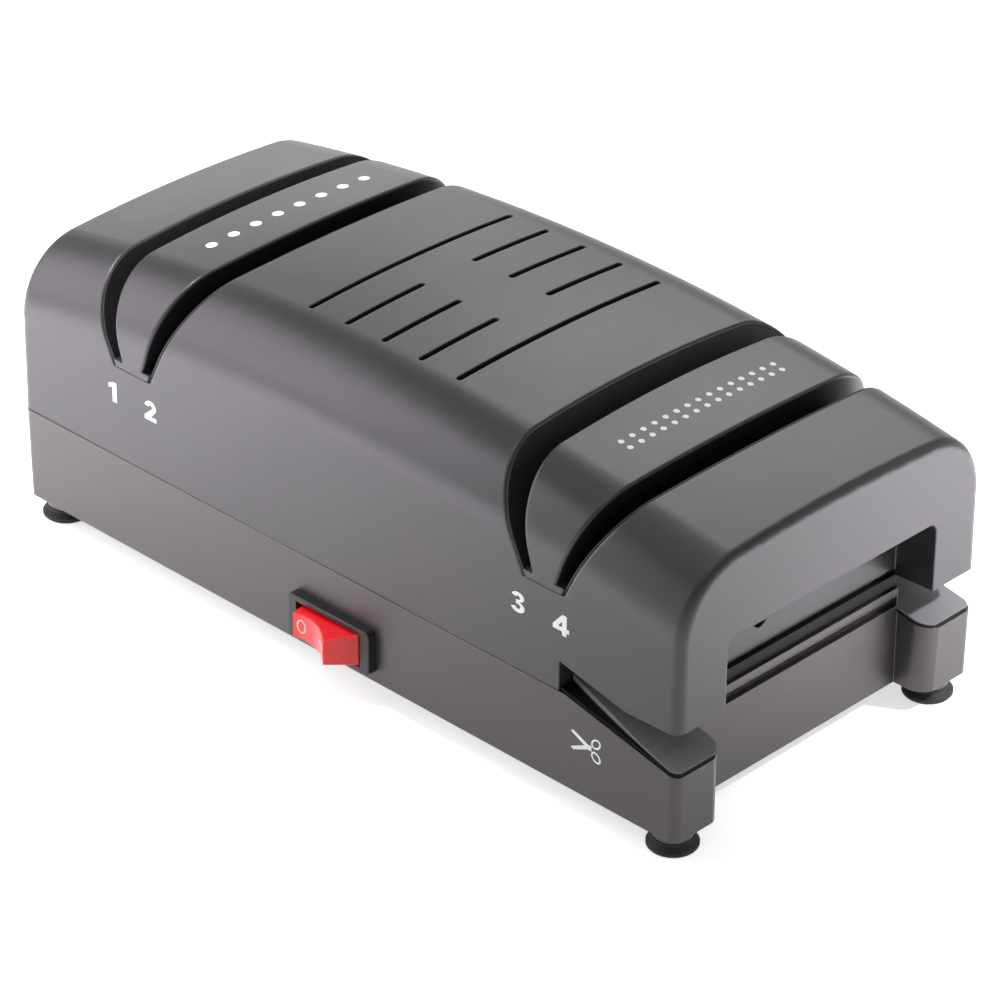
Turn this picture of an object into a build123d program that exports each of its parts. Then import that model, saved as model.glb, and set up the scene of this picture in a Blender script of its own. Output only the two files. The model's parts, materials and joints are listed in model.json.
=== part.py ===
from build123d import *
import math
import os

os.makedirs("parts", exist_ok=True)

# Two-stage electric knife and scissors sharpener, millimetres, +Z up.
# Origin: middle of the footprint on the table. The switch side faces -Y, the scissors end +X.

# Driving sizes of the housing
length = 250.0
width = 116.8
base_z = 6.5
seam_z = 34.5
top_z = 97.2
crown_r = 680.0
crown_y_drop = 3.1
edge_r = 21.0
end_r = 2.8
corner_r = 2.4
wall = 2.6
seam_groove = 0.15
half_l = length / 2
half_w = width / 2

# Driving sizes of the two sharpening stations
base_floor = base_z + wall
tray_h = 6.0
tray_clear = 11.9
wheel_depth = 20.2
wheel_low = base_floor + tray_h + tray_clear
wheel_high = top_z - wheel_depth
shaft_z = (wheel_low + wheel_high) / 2
wheel_r = (wheel_high - wheel_low) / 2
sill_z = shaft_z + 11.1
slot_z = sill_z + 2.2
wheel_in = 47.0
wheel_x = half_l - wheel_in
slot_out = 8.0
slot_out_angle = 26.0
island_half = 4.2
island_angle = 17.5
liner = 0.6
floor_t = 1.0
fit_gap = 0.15
rim_r = 0.8
station_x = {"coarse": -wheel_x, "fine": wheel_x}

# Driving sizes of the drive
shaft_d = 8.0
shaft_over = 15.5
bush_clearance = 0.05
wheel_half = 5.6
wheel_window = 6.3
wheel_gap = 0.6
hub_r = 5.5
flange_r = 8.0
nut_r = 6.6
stator_r = 29.0
motor_room = 54.0
stator_half = wheel_x - motor_room
coil_l = 9.0
air_gap = 0.4
rotor_r = 14.6
bracket_x = stator_half + 14.0
bracket_t = 4.0
bracket_foot = 13.0
post_top = 20.0
post_x = bracket_x + 8.0
fan_x = bracket_x + 11.0
fan_l = 10.0

# Driving sizes of the scissors end
end_wall_in = 10.75
end_wall_x = half_l - end_wall_in
leg_in_y = 39.6
leg_r = 6.0
slope_in = 41.0
slope_x = half_l - slope_in
base_slope_z = 35.0
slope_angle = 12.2
hood_z = [43.6, 38.7, 39.2]
hood_x = [slope_x, half_l - 18.0, half_l + 1.0]
arch_half = 40.5
arch_top = 60.2
arch_in = 13.0
arch_back_x = half_l - arch_in
ledge_top = 40.0
ledge_x = 113.3
lip_top = 36.1
lip_t = 2.0
lip_groove = 3.6
lip_rib = (0.4, 0.45)
deck_t = 2.4
deck_side_in = 5.4
deck_bow = 2.8
arch_screw = (-13.4, 48.8)
arch_bore = (5.0, 4.6)
arch_slit = (8.5, 1.1)
arch_head = (4.5, 1.8)

# Driving sizes of the switch and cord entry
switch_x = 1.4
switch_z = 16.15
bezel = (31.0, 13.2, 2.7)
switch_body = (28.6, 11.6, 14.0)
rocker_half = 11.8
rocker_low = 3.4
rocker_tip = (8.45, 5.75)
rocker_dip = 2.3
rocker_h = 9.4
rocker_tip_h = 7.4
rocker_gap = 0.35
rocker_end_gap = 0.5
rocker_rest = 15.5
pin_d = 2.0
pin_in = 2.2
gland_x = -62.0
gland_z = 20.0
gland_d = 12.0
cord_bore = 6.5
sleeve_l = 10.3

# Driving sizes of feet and screws
foot_in = 7.6
foot_x = half_l - foot_in
foot_y = half_w - 7.9
foot_d = 14.0
neck_d = 11.0
neck_z = 3.4
screw_d = 3.0
screw_hole = 3.1
head_d = 5.6
head_h = 2.0
post_y = half_w - 11.4
cover_posts = [(x, side * post_y) for x in (17.0 - half_l, post_x) for side in (1, -1)]
motor_posts = [(x, side * 24.0) for x in (-post_x, post_x) for side in (1, -1)]
deck_posts = [(half_l - 28.0, side * post_y) for side in (1, -1)]
roof_posts = [(slope_x + 2.5, 38.0), (slope_x + 2.5, -38.0)]
island_posts = [40.0, -40.0]

big = 300.0


def block(x0, x1, y0, y1, z0, z1):
    """Box between two corners."""
    return Pos((x0 + x1) / 2, (y0 + y1) / 2, (z0 + z1) / 2) * Box(x1 - x0, y1 - y0, z1 - z0)


def rod_x(x0, x1, r, y=0.0, z=shaft_z):
    """Cylinder along X."""
    return Pos((x0 + x1) / 2, y, z) * Rot(0, 90, 0) * Cylinder(r, x1 - x0)


def rod_y(y0, y1, r, x, z):
    """Cylinder along Y."""
    return Pos(x, (y0 + y1) / 2, z) * Rot(90, 0, 0) * Cylinder(r, y1 - y0)


def rod_z(z0, z1, r, x, y):
    """Cylinder along Z."""
    return Pos(x, y, (z0 + z1) / 2) * Cylinder(r, z1 - z0)


def prism_y(points, y0, y1):
    """Outline in X and Z, drawn out along Y."""
    face = make_face(Polyline(*[(x, y0, z) for x, z in points], close=True))
    return extrude(face, amount=y1 - y0, dir=(0, 1, 0))


def prism_x(points, x0, x1):
    """Outline in Y and Z, drawn out along X."""
    face = make_face(Polyline(*[(x0, y, z) for y, z in points], close=True))
    return extrude(face, amount=x1 - x0, dir=(1, 0, 0))


def crowned(inset):
    """The housing's section, swung about an axis far below so that its top is crowned along X."""
    low = half_w + 0.25 - inset
    high = half_w - 0.5 - inset
    crest = top_z - inset
    shoulder = crest - crown_y_drop
    outline = Polyline((0, -high, shoulder), (0, -low, 0), (0, low, 0), (0, high, shoulder))
    roof = ThreePointArc((0, high, shoulder), (0, 0, crest), (0, -high, shoulder))
    face = make_face(outline + roof)
    shoulders = [v for v in face.vertices() if v.Z > shoulder - 1]
    face = fillet(shoulders, edge_r - inset)
    axis = Axis((0, 0, top_z - crown_r), (0, 1, 0))
    swing = math.degrees(math.asin((half_l + 6.0) / (crown_r - top_z)))
    return revolve(face.rotate(axis, -swing), axis, 2 * swing)


def hood_line(lift=0.0):
    """Lower edge of the cover over the scissors tunnel, in X and Z."""
    return [(x, z + lift) for x, z in zip(hood_x, hood_z)]


def slope(x):
    """Height of the base's sloping edge under the scissors tunnel."""
    return base_slope_z - (x - slope_x) * math.tan(math.radians(slope_angle))


def flare(x, half, angle, z0, z1):
    """Wedge along Y whose sides lean outwards; half is its half-width at the slot floor."""
    k = math.tan(math.radians(angle))
    h0 = half + (z0 - slot_z) * k
    h1 = half + (z1 - slot_z) * k
    return prism_y([(x - h0, z0), (x + h0, z0), (x + h1, z1), (x - h1, z1)], -big, big)


def between_legs(grow=0.0):
    """Open space between the legs, rounded where it meets their end faces."""
    y = leg_in_y + grow
    space = block(end_wall_x, big, -y, y, -10, big)
    for side in (-1, 1):
        corner = block(half_l - leg_r, big, *sorted((side * (y - 1), side * (y + leg_r))), -10, big)
        corner -= rod_z(-20, big + 10, leg_r, half_l - leg_r, side * (y + leg_r))
        space += corner
    return space


def station(x, grow, z0, z1=top_z + 22.8):
    """Space of one sharpening station, both slots and the island between them."""
    return flare(x, slot_out + grow, slot_out_angle, z0, z1)


def screw(x, y, z_head, z_tip, up=True):
    """Pan head screw on a vertical axis; the head lies on the far side of z_head from the tip."""
    z_low = z_head - head_h if up else z_head
    head = rod_z(z_low, z_low + head_h, head_d / 2, x, y)
    shank = rod_z(min(z_head, z_tip), max(z_head, z_tip), screw_d / 2, x, y)
    socket_z = z_low if up else z_low + head_h - 0.8
    cross = block(x - 1.6, x + 1.6, y - 0.35, y + 0.35, socket_z, socket_z + 0.8)
    cross += block(x - 0.35, x + 0.35, y - 1.6, y + 1.6, socket_z, socket_z + 0.8)
    return head + shank - cross


def rims(shape, x, half, angle):
    """Edges where the leaning sides of a wedge meet the crowned skin."""
    k = math.tan(math.radians(angle))
    found = []
    for edge in shape.edges():
        spots = [edge @ t for t in (0.0, 0.5, 1.0)]
        if all(abs(abs(p.X - x) - half - (p.Z - slot_z) * k) < 0.02 for p in spots):
            if max(p.Z for p in spots) - sill_z > 3.0:
                found.append(edge)
    return found


def full_skin(edge):
    """True for an edge that lies on the crowned outer skin."""
    p = edge @ 0.5
    above = math.hypot(p.X, p.Z - top_z + crown_r) - crown_r
    return abs(p.Y) > half_w - 0.8 or above > -edge_r and (abs(p.Y) > half_w - edge_r or above > -2.4)


nodes = {}
full = crowned(0.0)
inner = crowned(wall)

# Base housing
plan = Pos(0, 0, base_z) * RectangleRounded(length - 0.7, width - 0.7, corner_r)
base = extrude(plan, amount=seam_z - base_z, taper=-0.7)
base -= block(-half_l + wall, end_wall_x - wall, -half_w + wall, half_w - wall, base_floor, big)
base -= between_legs()
past_end = half_l + 5.0
sloped = [(slope_x, slope(slope_x)), (past_end, slope(past_end)), (past_end, sill_z), (slope_x, sill_z)]
base -= prism_y(sloped, -big, big)
base += block(end_wall_x - wall, end_wall_x, -leg_in_y, leg_in_y, base_z, lip_top)
groove_y = leg_in_y - 0.3
groove_top = lip_top - lip_t
base -= block(end_wall_x - 2.0, big, -groove_y, groove_y, groove_top - lip_groove, groove_top)
rib_top = groove_top - lip_rib[0]
base += block(end_wall_x - wall, end_wall_x - 0.3, -leg_in_y, leg_in_y, rib_top - lip_rib[1], rib_top)
for x, y in cover_posts:
    base += rod_z(base_z, seam_z, 4.5, x, y)
for x, y in motor_posts:
    base += rod_z(base_z, post_top, 4.5, x, y)
for x, y in deck_posts:
    base += rod_z(base_z, slope(x) + 2.0, 4.5, x, y) - prism_y(sloped, -big, big)
for sx in (-1, 1):
    for sy in (-1, 1):
        base += rod_z(neck_z, base_z + 6.0, neck_d / 2, sx * foot_x, sy * foot_y)
        base -= rod_z(0, base_z + 7.0, screw_hole / 2, sx * foot_x, sy * foot_y)
for x, y in cover_posts:
    base -= rod_z(0, big, 1.75, x, y) + rod_z(0, base_z + 5.0, 3.3, x, y)
for x, y in motor_posts + deck_posts:
    base -= rod_z(base_z + 3.0, big, screw_hole / 2, x, y)
base -= block(switch_x - switch_body[0] / 2 - 0.1, switch_x + switch_body[0] / 2 + 0.1, -half_w - 5,
              -half_w + 9, switch_z - switch_body[1] / 2 - 0.1, switch_z + switch_body[1] / 2 + 0.1)
base -= rod_y(half_w - 8, half_w + 8, gland_d / 2 + 0.1, gland_x, gland_z)
for i in range(7):
    base -= block(-27 + 9 * i, -24 + 9 * i, -14, 14, 0, base_floor + 1)
nodes["base_housing"] = base

# Top cover
shell_box = block(-half_l, half_l, -big, big, seam_z, big)
shell = full & shell_box
ends = [e for e in shell.edges() if abs(abs(e.center().X) - half_l) < 0.05 and e.center().Z > seam_z + 1]
shell = fillet(ends, end_r)
cavity = inner & block(-half_l + wall, half_l - wall, -big, big, seam_z - 1, big)
for x in station_x.values():
    cavity -= station(x, 2.4, sill_z - 2.4)
recess = block(arch_back_x, big, -arch_half, arch_half, 0, arch_top)
recess_edges = [e for e in recess.edges().filter_by(Axis.X) if e.center().Z > arch_top - 1]
recess = fillet(recess_edges, 3.0)
cavity -= block(arch_back_x - 2.4, big, -arch_half - 2.4, arch_half + 2.4, 0, arch_top + 2.4)
under = prism_y([(hood_x[0], 0)] + hood_line() + [(hood_x[2], 0)], -big, big)
under += block(arch_back_x - 4.0, big, -arch_half, arch_half, 0, ledge_top + 0.2)
cover = shell - cavity
for x, y in cover_posts:
    cover += rod_z(seam_z, top_z - 3.2, 4.0, x, y) & full
for x, y in roof_posts:
    cover += rod_z(hood_z[0] + 3.0, sill_z - 2.0, 4.0, x, y)
for x in station_x.values():
    cover -= station(x, 0.0, sill_z)
    cover = fillet([e for e in rims(cover, x, slot_out, slot_out_angle) if full_skin(e)], rim_r)
    cover -= block(x - wheel_window, x + wheel_window, -wheel_r, wheel_r, sill_z - 13.1, sill_z + 1)
    for y in island_posts:
        cover -= rod_z(sill_z - 13.1, sill_z + 6.9, 1.75, x, y)
cover = cover - recess - under
for x, y in cover_posts:
    cover -= rod_z(0, seam_z + 21.5, screw_hole / 2, x, y)
for x, y in roof_posts:
    cover -= rod_z(0, sill_z - 5.1, screw_hole / 2, x, y)
vent_rows = [[(-38.4, 38.4)], [(-38.4, -9.3), (9.3, 38.4)], [(-38.4, -9.3), (9.3, 38.4)],
             [(-38.4, -9.3), (9.3, 38.4)], [(-38.4, 38.4)]]
vent_pitch = 13.83
vent_w = 1.9
vent_low = top_z - 12.2
for i, row in enumerate(vent_rows):
    x = (i - 2) * vent_pitch
    for y0, y1 in row:
        cover -= block(x - vent_w / 2, x + vent_w / 2, y0 + 0.95, y1 - 0.95, vent_low, big)
        cover -= rod_z(vent_low, big, vent_w / 2, x, y0 + 0.95)
        cover -= rod_z(vent_low, big, vent_w / 2, x, y1 - 0.95)
rim = block(-big, big, -big, big, seam_z - 1, seam_z + seam_groove)
keep = extrude(Pos(0, 0, seam_z - 2) * RectangleRounded(length - 1.0, width - 1.0, corner_r), amount=4)
cover -= rim - keep
bore_d, bore_l = arch_bore
bore_x = arch_back_x - bore_l
cover += rod_x(bore_x - wall, arch_back_x, bore_d / 2 + wall, *arch_screw)
cover -= rod_x(bore_x, arch_back_x + 1, bore_d / 2, *arch_screw)
cover -= rod_x(bore_x - wall - 1, bore_x + 1, screw_hole / 2, *arch_screw)
slit_y, slit_z = arch_screw
slit_l, slit_h = arch_slit
slit_ends = (slit_y - slit_l, slit_z), (slit_y + slit_l, slit_z)
slit = ThreePointArc(slit_ends[0], (slit_y, slit_z - slit_h), slit_ends[1])
slit += ThreePointArc(slit_ends[1], (slit_y, slit_z + slit_h), slit_ends[0])
cover -= extrude(Plane((arch_back_x - 2.5, 0, 0), (0, 1, 0), (1, 0, 0)) * make_face(slit), amount=3.5)
nodes["top_cover"] = cover

# Islands over the wheels and the black liners of their slots
lip_y = half_w - 3.4
for name, x in station_x.items():
    window = block(x - 20, x + 20, 0.4 - wheel_r, wheel_r - 0.4, sill_z - 13.1, shaft_z + wheel_r + 1.2)
    wedge = flare(x, island_half, island_angle, sill_z + floor_t, top_z + 22.8)
    island = wedge & full
    island = fillet(rims(island, x, island_half, island_angle), rim_r)
    hollow = flare(x, island_half - 2.4, island_angle, sill_z - 1, top_z + 12.8) & crowned(3.0)
    island -= hollow
    lip = station(x, -liner - fit_gap, sill_z + 0.2, slot_z - 0.1) & full
    lip &= block(-big, big, lip_y, big, 0, big) + block(-big, big, -big, -lip_y, 0, big)
    groove = block(x - 20, x + 20, -big, big, slot_z - 0.35, slot_z - 0.1)
    island -= groove & (full - crowned(0.5))
    for y in island_posts:
        island += rod_z(sill_z + floor_t, sill_z + 16.9, 3.4, x, y) & wedge
    island = island + lip - window
    for y in island_posts:
        island -= rod_z(sill_z - 13.1, sill_z + 10.9, screw_hole / 2, x, y)
    nodes[name + "_wheel_cover"] = island
    outer = station(x, -0.05, sill_z)
    liners = (outer - station(x, -liner, sill_z - 1)) & crowned(0.35)
    floor = outer & block(-big, big, 0.4 - lip_y, lip_y - 0.4, sill_z, sill_z + floor_t)
    guide = liners + floor - block(x - 20, x + 20, -wheel_r, wheel_r, sill_z - 13.1, sill_z + floor_t)
    for y in island_posts:
        guide -= rod_z(sill_z - 13.1, sill_z + 6.9, 1.75, x, y)
    nodes[name + "_slot_guide"] = guide
    nodes[name + "_cover_screws"] = Compound(children=[
        screw(x, y, sill_z - 2.4, sill_z + 9.9) for y in island_posts])

# Scissors deck with its ledge, and the roof of the scissors tunnel
deck_end = half_l - 0.6
deck_side = [(slope_x + 0.3, slope(slope_x + 0.3)), (deck_end, slope(deck_end)),
             (deck_end, slope(deck_end) + 1.2), (arch_back_x, slope(arch_back_x) + 1.6),
             (half_l - 25.0, slope(half_l - 25.0) + deck_t), (slope_x + 0.3, slope(slope_x) + deck_t)]
deck = prism_y(deck_side, -half_w + 0.6, half_w - 0.6)
deck &= extrude(RectangleRounded(2 * deck_end, width - 1.2, corner_r), amount=big)
deck -= between_legs(0.1)
deck -= block(end_wall_x - wall - 0.1, end_wall_x + 1, -leg_in_y - 0.1, leg_in_y + 0.1, 0, big)
above = [(slope_x - 1, slope(slope_x - 1) + 0.7), (past_end, slope(past_end) + 0.7), (past_end, big),
         (slope_x - 1, big)]
for side in (-1, 1):
    start = (slope_x - 1, side * (half_w - deck_side_in))
    middle = ((slope_x + end_wall_x) / 2, side * (half_w - deck_bow))
    finish = (half_l - 2.0, side * (half_w - 0.6))
    outside = Polyline(finish, (half_l - 2.0, side * (half_w + 1)), (slope_x - 1, side * (half_w + 1)), start)
    front = extrude(make_face(ThreePointArc(start, middle, finish) + outside), amount=big)
    deck -= front & prism_y(above, -big, big)
ledge_y = arch_half - 0.9
ledge_back = arch_back_x - 3.1
deck += block(ledge_back, end_wall_x - wall - 0.1, -ledge_y, ledge_y, slope(half_l - 15.0), ledge_top)
deck += block(ledge_back, ledge_x, -ledge_y, ledge_y, lip_top, ledge_top)
for x, y in deck_posts:
    deck -= rod_z(0, big, 1.75, x, y) + rod_z(slope(x) + 0.7, big, 3.1, x, y)
nodes["scissor_deck"] = deck
nodes["scissor_deck_screws"] = Compound(children=[
    screw(x, y, slope(x) + 0.7, slope(x) - 14.0, up=False) for x, y in deck_posts])
roof_y = half_w - wall - 0.4
roof_end = ledge_back - 0.3
roof_side = [(slope_x - 1.6, seam_z), (slope_x, seam_z + 0.6), (slope_x, hood_z[0]),
             (hood_x[1], hood_z[1]), (roof_end, hood_z[1]), (roof_end, hood_z[1] + 1.8),
             (hood_x[1], hood_z[1] + 1.8),
             (slope_x - 1.6, hood_z[0] + 2.1)]
roof = prism_y(roof_side, -roof_y, roof_y)
for x, y in roof_posts:
    roof += rod_z(hood_z[0] - 0.8, hood_z[0] + 3.0, 5.0, x, y) - under
    roof -= rod_z(0, big, 1.75, x, y) + rod_z(0, hood_z[0] + 1.5, 3.1, x, y)
wheel_pass = wheel_r + wheel_gap
roof -= block(slope_x - 3.0, slope_x + 0.1, -wheel_pass, wheel_pass, 0, big)
roof -= block(slope_x - 3.0, wheel_x + shaft_over + 1.5, -9.5, 9.5, 0, big)
nodes["scissor_roof"] = roof
nodes["scissor_roof_screws"] = Compound(children=[
    screw(x, y, hood_z[0] + 1.5, sill_z - 7.5) for x, y in roof_posts])

head_top = bore_x + arch_head[1]
head = rod_x(bore_x, head_top, arch_head[0] / 2, *arch_screw)
head -= block(head_top - 0.8, head_top + 1, slit_y - 1.6, slit_y + 1.6, slit_z - 0.35, slit_z + 0.35)
nodes["arch_screw"] = head + rod_x(bore_x - 7.0, bore_x, screw_d / 2, *arch_screw)

# Feet
corners = [("front_left", -1, -1), ("front_right", 1, -1), ("back_left", -1, 1), ("back_right", 1, 1)]
for tag, sx, sy in corners:
    half = make_face(Polyline((0, 0, 0), (foot_d / 2 - 0.4, 0, 0), (foot_d / 2, 0, 0.5), (foot_d / 2, 0, 1.3),
                              (neck_d / 2 + 0.2, 0, 2.6), (neck_d / 2 + 0.2, 0, neck_z), (0, 0, neck_z),
                              close=True))
    foot = revolve(half, Axis.Z, 360)
    foot = foot - rod_z(0, 10, 1.75, 0, 0) - rod_z(0, 2.2, 3.2, 0, 0)
    nodes["foot_" + tag] = Pos(sx * foot_x, sy * foot_y, 0) * foot
nodes["foot_screws"] = Compound(children=[
    screw(sx * foot_x, sy * foot_y, 2.2, 11.0) for sx in (-1, 1) for sy in (-1, 1)])
nodes["housing_screws"] = Compound(children=[
    screw(x, y, base_z + 5.0, seam_z + 17.5) for x, y in cover_posts])

# Rocker switch; its pivot lies at the face of the base wall
face_y = -half_w + 0.1
bez_l, bez_h, bez_t = bezel
frame = block(switch_x - bez_l / 2, switch_x + bez_l / 2, face_y - bez_t, face_y,
              switch_z - bez_h / 2, switch_z + bez_h / 2)
frame = fillet(frame.edges().filter_by(Axis.Y), 1.2)
frame = fillet([e for e in frame.edges() if e.center().Y < face_y - bez_t + 0.01], 0.4)
frame += block(switch_x - switch_body[0] / 2, switch_x + switch_body[0] / 2, face_y, face_y + switch_body[2],
               switch_z - switch_body[1] / 2, switch_z + switch_body[1] / 2)
pocket_l = 2 * (rocker_half + rocker_end_gap)
pocket_h = rocker_h + 2 * rocker_gap
frame -= block(switch_x - pocket_l / 2, switch_x + pocket_l / 2, face_y - 10, face_y + 10.5,
               switch_z - pocket_h / 2, switch_z + pocket_h / 2)
pivot_y = face_y - bez_t
pin_l = switch_body[1] - 0.6
frame -= Pos(switch_x, pivot_y + pin_in, switch_z) * Cylinder(pin_d / 2, pin_l)
tab_x = [switch_x - 7.0, switch_x + 7.0]
for x in tab_x:
    frame -= block(x - 0.4, x + 0.4, face_y + 10, face_y + 20, switch_z - 3.15, switch_z + 3.15)
nodes["switch_frame"] = frame
nodes["switch_pin"] = Pos(switch_x, pivot_y + pin_in, switch_z) * Cylinder(pin_d / 2, pin_l)
tip_x, tip_y = rocker_tip
right = [(tip_x, -tip_y), (rocker_half, rocker_low), (rocker_half - 0.8, rocker_low + 1.4), (4.0, 7.0)]
profile = right + [(-x, y) for x, y in reversed(right)]
dip = ThreePointArc((-tip_x, -tip_y), (0, rocker_dip - tip_y), (tip_x, -tip_y))
rocker = extrude(make_face(Polyline(*profile) + dip), amount=rocker_h / 2, both=True)
low_z, tip_z = rocker_h / 2, rocker_tip_h / 2
rocker &= prism_x([(-tip_y, -tip_z), (rocker_low, -low_z), (10, -low_z), (10, low_z), (rocker_low, low_z),
                   (-tip_y, tip_z)], -20, 20)
rocker = fillet([e for e in rocker.edges() if e.center().Y < rocker_low - 0.1], 0.3)
rocker -= Pos(0, pin_in, 0) * Cylinder(pin_d / 2 + bush_clearance, 40)
nodes["switch_rocker"] = (Pos(switch_x, pivot_y + pin_in, switch_z) * Rot(0, 0, -rocker_rest)
                          * Pos(0, -pin_in, 0) * rocker)
nodes["switch_terminals"] = Compound(children=[
    block(x - 0.4, x + 0.4, face_y + 11.0, face_y + 24.0, switch_z - 3.15, switch_z + 3.15) for x in tab_x])

# Cord gland in the back wall
gland = rod_y(half_w - 6.0, half_w + 0.2, gland_d / 2, gland_x, gland_z)
gland += rod_y(half_w + 0.1, half_w + 2.4, gland_d / 2 + 2.0, gland_x, gland_z)
sleeve = Cone(gland_d / 2, gland_d / 2 - 1.2, sleeve_l)
gland += Pos(gland_x, half_w + sleeve_l / 2, gland_z) * Rot(-90, 0, 0) * sleeve
gland += rod_y(half_w - wall - 3.6, half_w - wall - 0.4, gland_d / 2 + 1.6, gland_x, gland_z)
nodes["cord_gland"] = gland - rod_y(half_w - 20, half_w + 20, cord_bore / 2, gland_x, gland_z)

# Motor: stator, windings, brackets with bushes, tie bolts
stator = rod_x(-stator_half, stator_half, stator_r) - rod_x(-big, big, rotor_r + air_gap)
stator &= block(-big, big, -26.5, 26.5, 0, big)
bolt_at = [(21.0 * sy, 17.0 * sz) for sy in (-1, 1) for sz in (-1, 1)]
for y, z in bolt_at:
    stator -= rod_x(-big, big, 1.75, y, shaft_z + z)
nodes["stator_core"] = stator
coils = []
for s in (-1, 1):
    x0, x1 = sorted((s * stator_half, s * (stator_half + coil_l)))
    coil = rod_x(x0, x1, 22.5) - rod_x(x0 - 1, x1 + 1, rotor_r + 2.0)
    far = stator_half + coil_l
    coil = fillet(coil.edges().filter_by(lambda e: abs(abs(e.center().X) - far) < 0.01), 2.0)
    coils.append(coil)
nodes["stator_windings"] = Compound(children=coils)
for tag, s in (("left", -1), ("right", 1)):
    x0, x1 = sorted((s * bracket_x, s * (bracket_x + bracket_t)))
    plate = rod_x(x0, x1, 27.5) + block(x0, x1, -29.0, 29.0, post_top, shaft_z - 8)
    plate += rod_x(*sorted((s * bracket_x, s * (bracket_x + 8.0))), 10.5)
    f0, f1 = sorted((s * bracket_x, s * (bracket_x + bracket_foot)))
    plate += block(f0, f1, -29.0, 29.0, post_top, post_top + 3.0)
    for y, z in bolt_at:
        plate += rod_x(*sorted((s * stator_half, s * bracket_x)), 3.4, y, shaft_z + z)
    plate -= rod_x(-big, big, 7.0)
    for y, z in bolt_at:
        plate -= rod_x(-big, big, 1.75, y, shaft_z + z)
    for a in range(6):
        ay, az = 17.5 * math.cos(math.radians(60 * a)), 17.5 * math.sin(math.radians(60 * a))
        plate -= rod_x(x0 - 0.5, x1 + 0.5, 4.2, ay, shaft_z + az)
    for x, y in motor_posts:
        plate -= rod_z(0, post_top + 10, 1.75, x, y)
    nodes["motor_bracket_" + tag] = plate
    bush = rod_x(*sorted((s * (bracket_x - 1.0), s * (bracket_x + 9.0))), 7.0)
    nodes["bush_" + tag] = bush - rod_x(-big, big, shaft_d / 2 + bush_clearance)
tie_end = bracket_x + bracket_t
ties = []
for y, z in bolt_at:
    tie = rod_x(-tie_end, tie_end, screw_d / 2, y, shaft_z + z)
    tie += rod_x(tie_end, tie_end + 2.0, head_d / 2, y, shaft_z + z)
    tie += rod_x(-tie_end - 2.4, -tie_end, head_d / 2, y, shaft_z + z)
    ties.append(tie)
nodes["motor_tie_bolts"] = Compound(children=ties)
nodes["motor_screws"] = Compound(children=[
    screw(x, y, post_top + 3.0, post_top - 9.0, up=False) for x, y in motor_posts])

# Rotating assembly
nodes["motor_shaft"] = rod_x(-wheel_x - shaft_over, wheel_x + shaft_over, shaft_d / 2)
nodes["rotor_core"] = rod_x(-stator_half, stator_half, rotor_r) - rod_x(-big, big, shaft_d / 2)
fan = rod_x(fan_x, fan_x + 2.0, 22.0) + rod_x(fan_x, fan_x + fan_l, 7.0)
for i in range(9):
    blade = block(fan_x + 2.0, fan_x + fan_l - 2.0, -0.8, 0.8, 6.0, 21.5)
    fan += Pos(0, 0, shaft_z) * Rot(40 * i, 0, 0) * blade
nodes["cooling_fan"] = fan - rod_x(-big, big, shaft_d / 2)
for name, x in station_x.items():
    s = 1 if x > 0 else -1

    def along(a, b, r):
        return rod_x(*sorted((x + s * a, x + s * b)), r)

    stone = along(-wheel_half, wheel_half, wheel_r) - along(-10, 10, hub_r)
    stone = chamfer(stone.edges().filter_by(GeomType.CIRCLE).sort_by(SortBy.RADIUS)[-2:], 0.8)
    nodes[name + "_wheel"] = stone
    hub = along(-wheel_half - 3.0, wheel_half, hub_r) + along(-wheel_half - 3.0, -wheel_half, flange_r)
    nodes[name + "_hub"] = hub - along(-20, 20, shaft_d / 2)
    washer = along(wheel_half, wheel_half + 2.0, flange_r)
    nut = RegularPolygon(nut_r, 6)
    nut = Pos(x + s * (wheel_half + 2.0), 0, shaft_z) * Rot(0, 90 * s, 0) * extrude(nut, amount=6.0)
    nodes[name + "_nut"] = washer + nut - along(-20, 20, shaft_d / 2)

# Swarf trays with magnets under the wheels
magnets = []
for name, x in station_x.items():
    z0 = base_floor
    tray = block(x - 14, x + 14, -30, 30, z0, z0 + tray_h)
    tray -= block(x - 12.8, x + 12.8, -28.8, 28.8, z0 + 1.2, big)
    nodes[name + "_swarf_tray"] = tray
    magnets.append(block(x - 6, x + 6, -15, 15, z0 + 1.2, z0 + 4.2))
nodes["swarf_magnets"] = Compound(children=magnets)

for name, shape in nodes.items():
    export_step(shape, "parts/" + name + ".step")
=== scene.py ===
import json
import math

import bmesh
import bpy
from bpy.props import FloatProperty, FloatVectorProperty, IntProperty, PointerProperty
from mathutils import Matrix, Vector
from mathutils.bvhtree import BVHTree


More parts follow.
